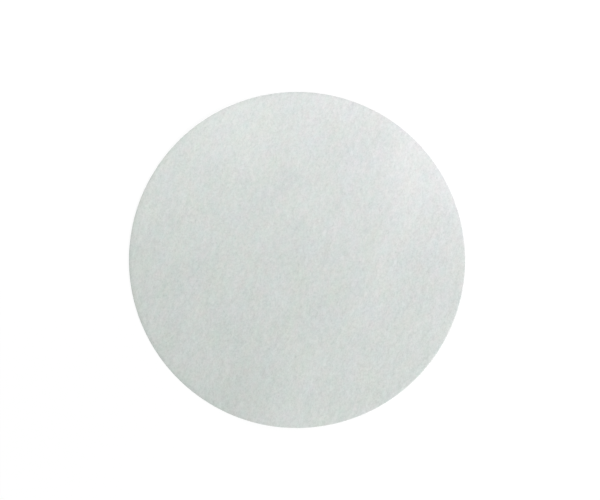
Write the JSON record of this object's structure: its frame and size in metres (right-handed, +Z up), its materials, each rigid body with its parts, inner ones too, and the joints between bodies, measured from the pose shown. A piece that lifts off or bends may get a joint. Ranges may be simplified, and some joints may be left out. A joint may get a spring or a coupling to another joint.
{
  "type": "filter paper disc",
  "caption": "Flat round sheet of white filter paper, laid in a funnel or filter holder to catch solids while liquid drains through it.",
  "frame": {"origin": "centre of the lower face, the one that the sheet lies on", "axes": "+Z up through the sheet, along the disc's axis; +X and +Y lie in the sheet, and the paper's grain runs about 67 degrees from +X towards +Y"},
  "size_m": [0.09, 0.09, 0.0002],
  "materials": {
    "paper": "uncoated, fibrous"
  },
  "bodies": {
    "root": {"filter_paper": "paper"}
  },
  "joints": []
}
